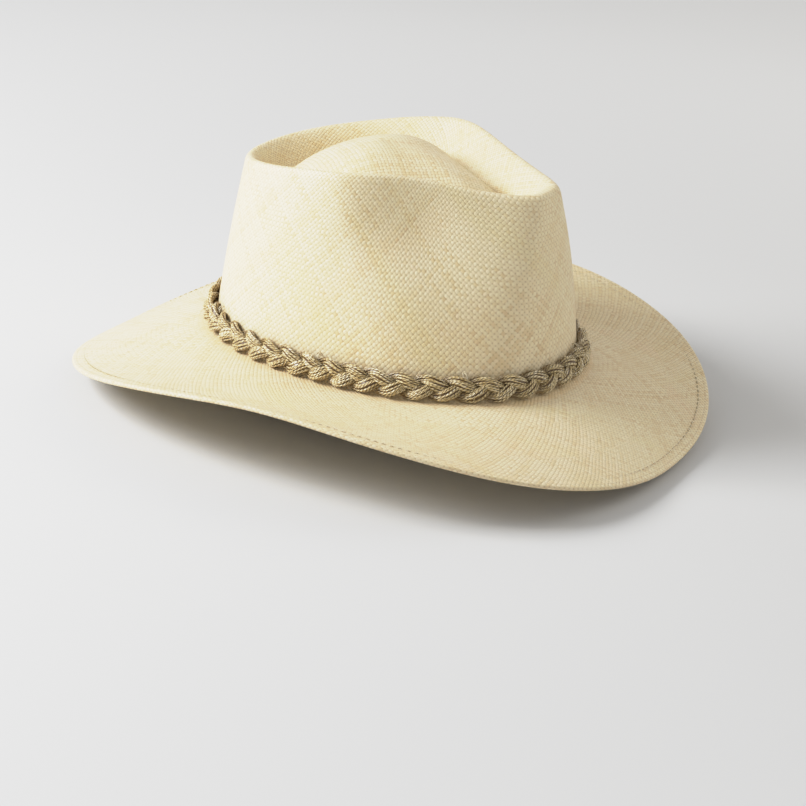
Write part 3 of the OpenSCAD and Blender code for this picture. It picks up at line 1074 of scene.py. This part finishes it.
def leather_sweatband(material):
    """The leather band that stands inside the opening, its ends meeting at the back."""
    near_seam = np.array([-0.9, -0.45, -0.2, 0.0, 0.2, 0.45, 0.9]) + SEAM_ANGLE
    phi = np.concatenate([np.arange(0, SEAM_ANGLE - 1, 1.0), near_seam, np.arange(SEAM_ANGLE + 2, TURN, 1.0)])
    top = SWEATBAND_Z + SWEATBAND_H
    heights = np.array([SWEATBAND_Z, 4.4, 8, 12, 16, 20, 24, 27, 28.2, 28.8, 29.2, 29.6, 30.2, 31.0, top])
    wave = 0.30 * (1 + sin(4 * phi + 30)) + 0.15 * sin(9 * phi + 100)
    wave = wave * (1 - np.exp(-(((phi - 172) / 26) ** 2)))
    seam = 0.45 * np.exp(-(((phi - SEAM_ANGLE) / 0.22) ** 2))
    inner, outer = [], []
    for z in heights:
        lean = wave * np.clip((z - 8) / 22, 0, 1) ** 2
        line = 0.22 * math.exp(-(((z - LEATHER_LINE) / 0.35) ** 2))
        row = 0.15 * math.exp(-(((z - LEATHER_ROW) / 0.8) ** 2))
        thin = z > LEATHER_THIN
        inner.append(wall_at(phi, z, SWEATBAND_IN - lean + line + seam + row + 0.35 * thin))
        outer.append(wall_at(phi, z, SWEATBAND_OUT - lean - 0.25 * thin))
    rings = np.array(inner + outer[::-1])
    faces = grid_faces(len(rings), len(phi), wrap=True)
    piece = new_piece("leather_sweatband", rings.reshape(-1, 3), faces)
    finish_piece(piece, material, "sweatband")


def reed_piping(material):
    phi = TURN * np.arange(REED_STEPS) / REED_STEPS
    path = wall_at(phi, -0.1, SWEATBAND_OUT - 0.2 - REED_R)
    rings = round_tube(path, polar(phi, 1.0, 0.0), REED_R, REED_SIDES, closed=True)
    length = lengths_along(path)
    girth = length[-1] * (REED_STEPS + 1) / REED_STEPS
    whole = float(np.round(girth))
    tubes = Tubes()
    values = numbers_for(rings, length[:, None] * whole / girth, np.arange(REED_SIDES) / REED_SIDES, 0)
    tubes.add(rings, values, 1.0, whole)
    tubes.finish("reed_piping", "thread", material, "sweatband_reed")


def sweatband_stitches(material):
    rng = np.random.default_rng(51)
    tubes = Tubes()
    half = TURN / SWEATBAND_STITCHES * 0.34
    for k in range(SWEATBAND_STITCHES):
        phi = TURN * k / SWEATBAND_STITCHES
        z = SWEATBAND_Z + 3 + rng.uniform(-0.06, 0.06)
        a, b = (wall_at(phi + side, z, SWEATBAND_IN - 0.05) for side in (-half, half))
        add_stitch(tubes, a, b, polar(phi, -1.0, 0.0), 0.32, rng.uniform())
    tubes.finish("sweatband_stitches", "thread", material, "sweatband_stitching")


def seam_stitches(material):
    """Crossed stitches over the seam at the back."""
    tubes = Tubes()
    inward = polar(SEAM_ANGLE, -1.0, 0.0)
    for k in range(5):
        middle = SWEATBAND_Z + 13 + 3.4 * k
        for way in (-1, 1):
            x = SWEATBAND_IN - 0.1 - 0.18 * (way + 1)
            ends = [placed(np.array([x, -way * y, middle + y]), SEAM_ANGLE, 0.0) for y in (-1.45, 1.45)]
            add_stitch(tubes, ends[0], ends[1], inward, 0.36, 0.2 * k)
    tubes.finish("seam_stitches", "thread", material, "sweatband_seam")


RIBBON_ROW = 7
RIBBON_T = 0.42
BOW_LOOP = 12.0
BOW_TAIL = 7.4
BOW_TAIL_ANGLE = 25
BOW_NOTCH = 1.2
TAB_HALF_LENGTH = 6.0
TAB_HALF_HEIGHT = 5.0
TAB_T = 0.4


def ribbon_rings(path, across, face, half_width, thickness, notch=0.0):
    """Rings of a flat ribbon with soft edges. notch cuts a V that deep into its last end."""
    share = np.concatenate([np.linspace(-1, 1, RIBBON_ROW), np.linspace(1, -1, RIBBON_ROW)])
    side = np.repeat([0.5, -0.5], RIBBON_ROW) * thickness * np.where(np.abs(share) > 0.99, 0.45, 1.0)
    half_width = np.broadcast_to(half_width, len(path))[:, None]
    rings = path[:, None] + across[:, None] * (half_width * share)[..., None]
    rings = rings + face[:, None] * side[None, :, None]
    along = unit(np.gradient(path, axis=0))
    cut = notch * (1 - np.abs(share)) * np.linspace(0, 1, len(path))[:, None] ** 2
    rings = rings - along[:, None] * cut[..., None]
    return rings, numbers_for(rings, lengths_along(path)[:, None], share * half_width, 0)


def direction_at(v, where):
    """A direction given outwards, along and up the wall, at that place of the hat."""
    return placed(np.array(v, float), *where) - placed(np.zeros(3), *where)


def ribbon_bow(material):
    """A small flat bow over the seam: two loops, two notched tails and a knot."""
    tubes = Tubes()
    back = SWEATBAND_IN - 3.0
    where = SEAM_ANGLE, SWEATBAND_Z + 7

    def add(local, across, face, half_width, notch, tint):
        across, face = direction_at(across, where), direction_at(face, where)
        rings, values = ribbon_rings(placed(local, *where), across, face, half_width, RIBBON_T, notch)
        values[..., 2] = tint
        tubes.add(rings, values)

    for way in (-1, 1):
        t = np.linspace(0.04, 0.96, 40)
        reach = np.sin(math.pi * t) ** 0.75
        y = way * (0.6 + BOW_LOOP * reach)
        x = back - 1.55 * np.sin(math.tau * t) * (0.45 + 0.55 * reach)
        z = -0.9 * reach**2
        local = np.stack([x, y, z], -1)
        ahead = unit(np.gradient(local, axis=0))
        upward = np.broadcast_to([0.0, 0.0, 1.0], local.shape)
        face = unit(np.cross(ahead, upward))
        add(local, upward, face, 1.15 + 0.85 * reach, 0.0, 0.3 + 0.2 * way)
        t = np.linspace(0, 1, 14)
        angle = way * BOW_TAIL_ANGLE
        y = way * 1.2 + BOW_TAIL * t * sin(angle)
        z = -1.2 - BOW_TAIL * t * cos(angle)
        x = back + 0.9 + 0.5 * np.sin(math.pi * t * 1.3)
        local = np.stack([x, y, z], -1)
        across = np.broadcast_to([0.0, cos(angle), sin(angle)], local.shape)
        face = np.broadcast_to([1.0, 0.0, 0.0], local.shape)
        add(local, across, face, 1.0 + 0.3 * t, BOW_NOTCH, 0.6 + 0.1 * way)
    z = np.linspace(-2.3, 2.3, 15)
    turn = TURN * np.arange(16) / 16
    swell = (1 - np.abs(z / 2.75) ** 2.6)[:, None]
    x, y = (np.sign(v) * np.abs(v) ** 0.7 for v in (cos(turn), sin(turn)))
    local = np.stack(np.broadcast_arrays(back + 1.45 * swell * x, 1.75 * swell * y, z[:, None]), -1)
    tubes.add(placed(local, *where), numbers_for(local, turn * 0.03, z[:, None], 0))
    tubes.finish("ribbon_bow", "ribbon", material, "sweatband_bow")


def blank_tab(material):
    """A small blank label sewn to the sweatband."""
    y = TAB_HALF_LENGTH * sin(np.linspace(-90, 90, 31))
    corner = np.clip(np.abs(y) - TAB_HALF_LENGTH + 1, 0, 1)
    half_height = TAB_HALF_HEIGHT - 1 + np.sqrt(1 - corner**2)
    local = np.stack([SWEATBAND_IN - 0.7 - 0.12 * np.cos(y * 0.26), y, 0 * y], -1)
    where = TAB_ANGLE, SWEATBAND_Z + 18
    path = placed(local, *where)
    upward, inward = (np.broadcast_to(direction_at(v, where), path.shape) for v in ([0, 0, 1], [-1, 0, 0]))
    rings, values = ribbon_rings(path, upward, inward, half_height, TAB_T)
    tubes = Tubes()
    tubes.add(rings, values)
    tubes.finish("blank_tab", "ribbon", material, "size_tab")


# ---- scene ----

CAMERA_AZIMUTH = -64.0
CAMERA_ELEVATION = 20.7
CAMERA_ROLL = 5.1
CAMERA_DISTANCE = 1500.0
# What the camera points at, right of the hat's origin and below it as the camera sees it
CAMERA_AIM = (3.9, -38.5)
CAMERA_LENS = 119.3
FLOOR_GAP = 0.5
FLOOR_HALF = 9000.0


def make_camera():
    a, e, r = CAMERA_AZIMUTH, CAMERA_ELEVATION, CAMERA_ROLL
    back = np.array([sin(a) * cos(e), -cos(a) * cos(e), sin(e)])
    right = np.array([cos(a), sin(a), 0.0])
    up = np.cross(back, right)
    picture_x = right * cos(r) + up * sin(r)
    picture_y = up * cos(r) - right * sin(r)
    place = back * CAMERA_DISTANCE
    target = picture_x * CAMERA_AIM[0] + picture_y * CAMERA_AIM[1]
    view_back = unit(place - target)
    view_x = unit(np.cross(picture_y, view_back))
    view_y = np.cross(view_back, view_x)
    data = bpy.data.cameras.new("camera")
    data.sensor_width = 36.0
    data.lens = CAMERA_LENS
    data.clip_start, data.clip_end = 0.05, 50.0
    camera = add_object("camera", data)
    camera.matrix_world = Matrix([
        [view_x[i], view_y[i], view_back[i], place[i] * MM] for i in range(3)
    ] + [[0, 0, 0, 1]])
    bpy.context.scene.camera = camera


def area_light(name, azimuth, elevation, distance, size, power, colour):
    """A soft square light that faces the hat."""
    back = Vector((sin(azimuth) * cos(elevation), -cos(azimuth) * cos(elevation), sin(elevation)))
    data = bpy.data.lights.new(name, "AREA")
    data.size = size
    data.energy = power
    data.color = colour
    light = add_object(name, data)
    light.location = back * distance + Vector((0, 0, 0.05))
    light.rotation_mode = "QUATERNION"
    light.rotation_quaternion = back.to_track_quat("Z", "Y")


# How light the sky is at the horizon, a third of the way up and overhead
SKY_GREYS = ((0.0, 0.74), (0.35, 0.52), (1.0, 0.36))
SKY_STRENGTH = 1.04
KEY = dict(azimuth=-145.0, elevation=32.0, distance=1.15, size=0.55, power=19.5, colour=(0.98, 0.99, 1.0))
FILL = dict(azimuth=50.0, elevation=35.0, distance=2.0, size=1.2, power=9.5, colour=(1.0, 0.95, 0.85))
# Light in the scene against light in the picture: even up to 0.6, then a soft shoulder
TONE_POINTS = ((0.3, 0.3), (0.6, 0.6), (0.84, 0.76), (1.36, 0.88), (2.0, 0.94), (3.0, 0.985))
TONE_WHITE = 3.0


def make_floor():
    z = cad_low.z / MM - FLOOR_GAP
    corners = [(FLOOR_HALF * x, FLOOR_HALF * y, z) for x, y in ((-1, -1), (1, -1), (1, 1), (-1, 1))]
    floor = new_piece("floor", corners, [(0, 1, 2, 3)])
    material, tree, shader = new_material("pale_floor", 0.9, 0.1)
    shade = noise(tree, object_place(tree), 3.0)
    colour = ramp(tree, shade, (0.0, (0.65, 0.65, 0.65)), (1.0, (0.67, 0.67, 0.67)))
    # painted light: the floor is drawn lighter from 0.3 m to 0.9 m out from the middle, to even out the
    # lamps' fall-off
    x, y, _ = parts_of(tree, object_place(tree))
    away = (x * x + y * y).math("POWER", 0.5)
    colour = mix_colour(tree, away.between(0.3, 0.9), colour, (0.80, 0.80, 0.80))
    finish_material(tree, shader, colour)
    floor.data.materials.append(material)


def make_light():
    """Soft daylight from one side, in a pale room, and a film-like shoulder on the brightest tones."""
    world = bpy.data.worlds.new("studio")
    world.use_nodes = True
    tree = world.node_tree
    # how high up the sky is seen
    _, _, height = parts_of(tree, tree.nodes.new("ShaderNodeTexCoord").outputs["Generated"])
    sky = tree.nodes["Background"]
    colour = ramp(tree, height, *((place, (grey,) * 3) for place, grey in SKY_GREYS))
    tree.links.new(colour, sky.inputs["Color"])
    sky.inputs["Strength"].default_value = SKY_STRENGTH
    bpy.context.scene.world = world
    area_light("window", **KEY)
    area_light("room", **FILL)
    settings = bpy.context.scene.view_settings
    settings.view_transform = "Standard"
    settings.use_curve_mapping = True
    curve = settings.curve_mapping
    curve.white_level = (TONE_WHITE,) * 3
    points = curve.curves[3].points
    points[1].location = (1.0, TONE_POINTS[-1][1])
    for light_in, light_out in TONE_POINTS[:-1]:
        points.new(light_in / TONE_WHITE, light_out)
    for point in points:
        point.handle_type = "AUTO_CLAMPED"
    curve.update()


def main():
    make_camera()
    make_light()
    make_floor()
    straw = straw_material()
    thread = thread_material()
    yarn = yarn_material()
    straw_body(straw)
    hem_stitches(thread)
    for number, phase in enumerate((0.0, 120.0, 240.0), start=1):
        plait_strand(f"plait_strand_{number}", phase, yarn, f"braid_strand_{number}", 20 + number)
    plait_keeper(yarn)
    plait_tacks(thread)
    leather_sweatband(leather_material())
    reed_piping(piping_material())
    sweatband_stitches(thread)
    seam_stitches(thread)
    ribbon_bow(ribbon_material())
    blank_tab(tab_material())


main()
